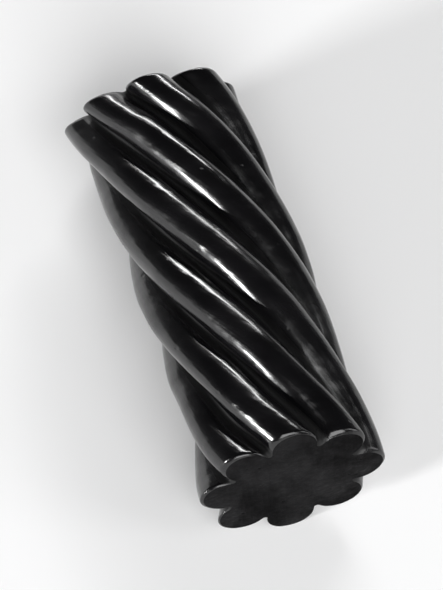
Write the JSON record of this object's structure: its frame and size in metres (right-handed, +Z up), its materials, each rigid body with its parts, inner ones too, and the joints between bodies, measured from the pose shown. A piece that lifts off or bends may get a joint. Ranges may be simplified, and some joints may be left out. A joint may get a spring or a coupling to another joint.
{
  "type": "black licorice piece",
  "caption": "Short piece of solid black licorice rope, lobed in section and twisted left-handed, chopped flat at both ends and lying on its side.",
  "frame": {"origin": "on the surface that the piece rests on, below the middle of its box", "axes": "+X along the piece towards the more splayed cut end, +Y across it, +Z up"},
  "size_m": [0.0436, 0.018, 0.0156],
  "materials": {
    "licorice": "satin"
  },
  "bodies": {
    "root": {"licorice_piece": "licorice"}
  },
  "joints": []
}
